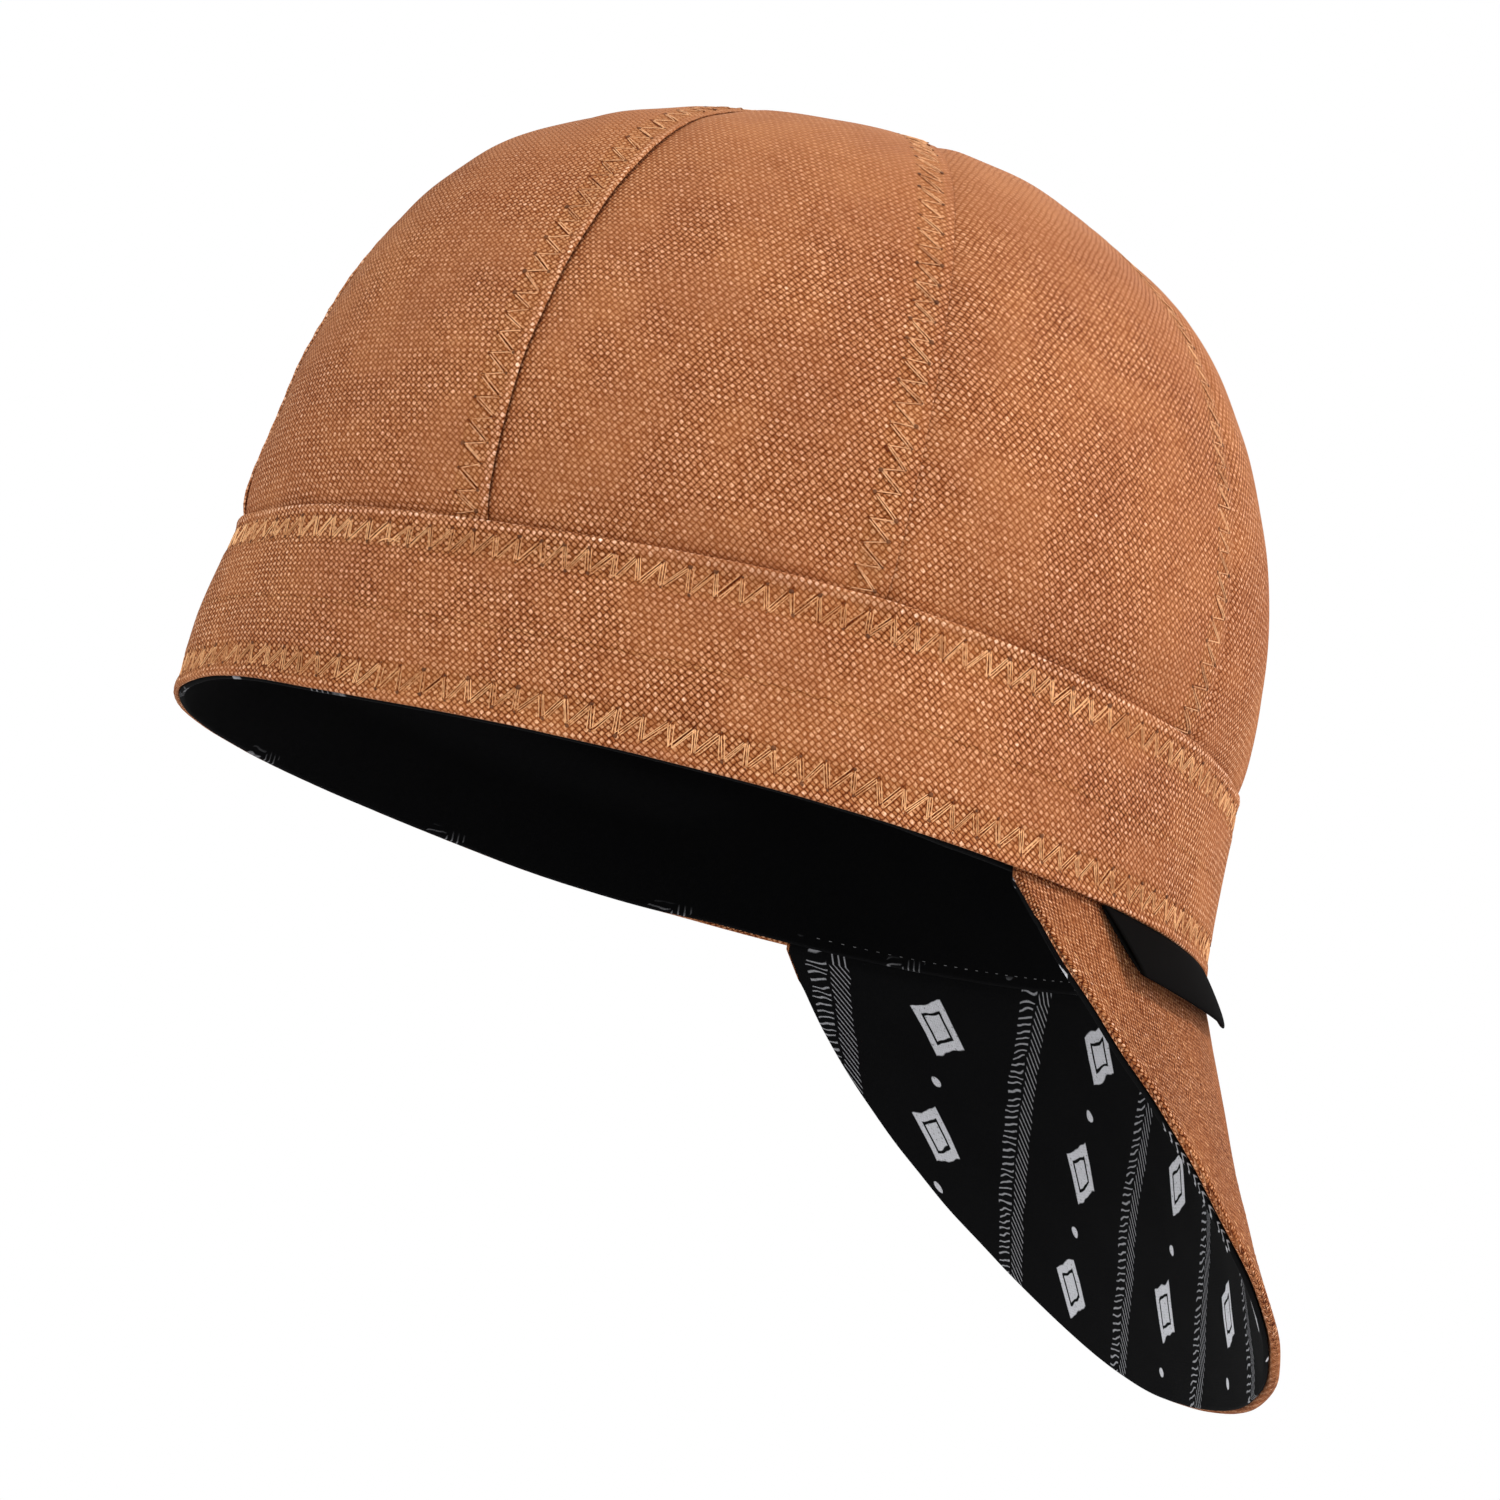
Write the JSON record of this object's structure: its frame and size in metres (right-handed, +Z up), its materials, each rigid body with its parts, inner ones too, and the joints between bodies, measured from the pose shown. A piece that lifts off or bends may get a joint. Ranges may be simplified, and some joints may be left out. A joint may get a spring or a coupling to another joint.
{
  "type": "welding cap",
  "caption": "Soft canvas work cap with a lapped panel crown, a stitched band, a lining and a curved bill that hangs over the nape.",
  "frame": {"origin": "middle of the head opening, in the plane of the band's lower edge, where a head carries the cap", "axes": "+Z up into the crown, +Y to the back of the head where the bill hangs, +X to the side that carries the label"},
  "size_m": [0.183, 0.2337, 0.2172],
  "materials": {
    "canvas": "washed duck canvas, golden brown, plain weave, matt",
    "lining_cloth": null,
    "label_tape": "folded black woven tape, plain, slight sheen"
  },
  "bodies": {
    "root": {"crown_panel_1": "canvas", "crown_panel_2": "canvas", "crown_panel_3": "canvas", "crown_panel_4": "canvas", "crown_panel_5": "canvas", "crown_panel_6": "canvas", "crown_panel_7": "canvas", "crown_panel_8": "canvas", "band": "canvas", "bill": "canvas", "lining": "lining_cloth", "bill_lining": "lining_cloth", "label": "label_tape"}
  },
  "joints": []
}
